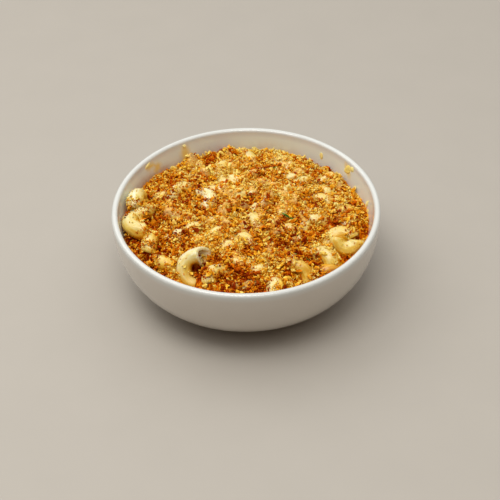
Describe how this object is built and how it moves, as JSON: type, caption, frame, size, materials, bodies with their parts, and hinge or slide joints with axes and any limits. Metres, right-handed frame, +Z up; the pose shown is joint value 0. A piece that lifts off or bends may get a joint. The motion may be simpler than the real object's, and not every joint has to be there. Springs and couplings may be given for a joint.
{
  "type": "bowl of mac and cheese",
  "caption": "Baked elbow macaroni and cheese under a golden breadcrumb topping, heaped in the round white glazed bowl it is served in.",
  "frame": {"origin": "centre of the circle that the bowl's foot ring stands on", "axes": "+Z up along the bowl's axis; -Y towards the side where a large hooked macaroni stands out of the crumbs; +X to the right when seen from -Y"},
  "size_m": [0.15, 0.15, 0.048],
  "materials": {
    "white_glaze": "glossy warm white glaze",
    "crumbed_macaroni": null
  },
  "bodies": {
    "root": {"bowl": "white_glaze", "mac_and_cheese": "crumbed_macaroni"}
  },
  "joints": []
}
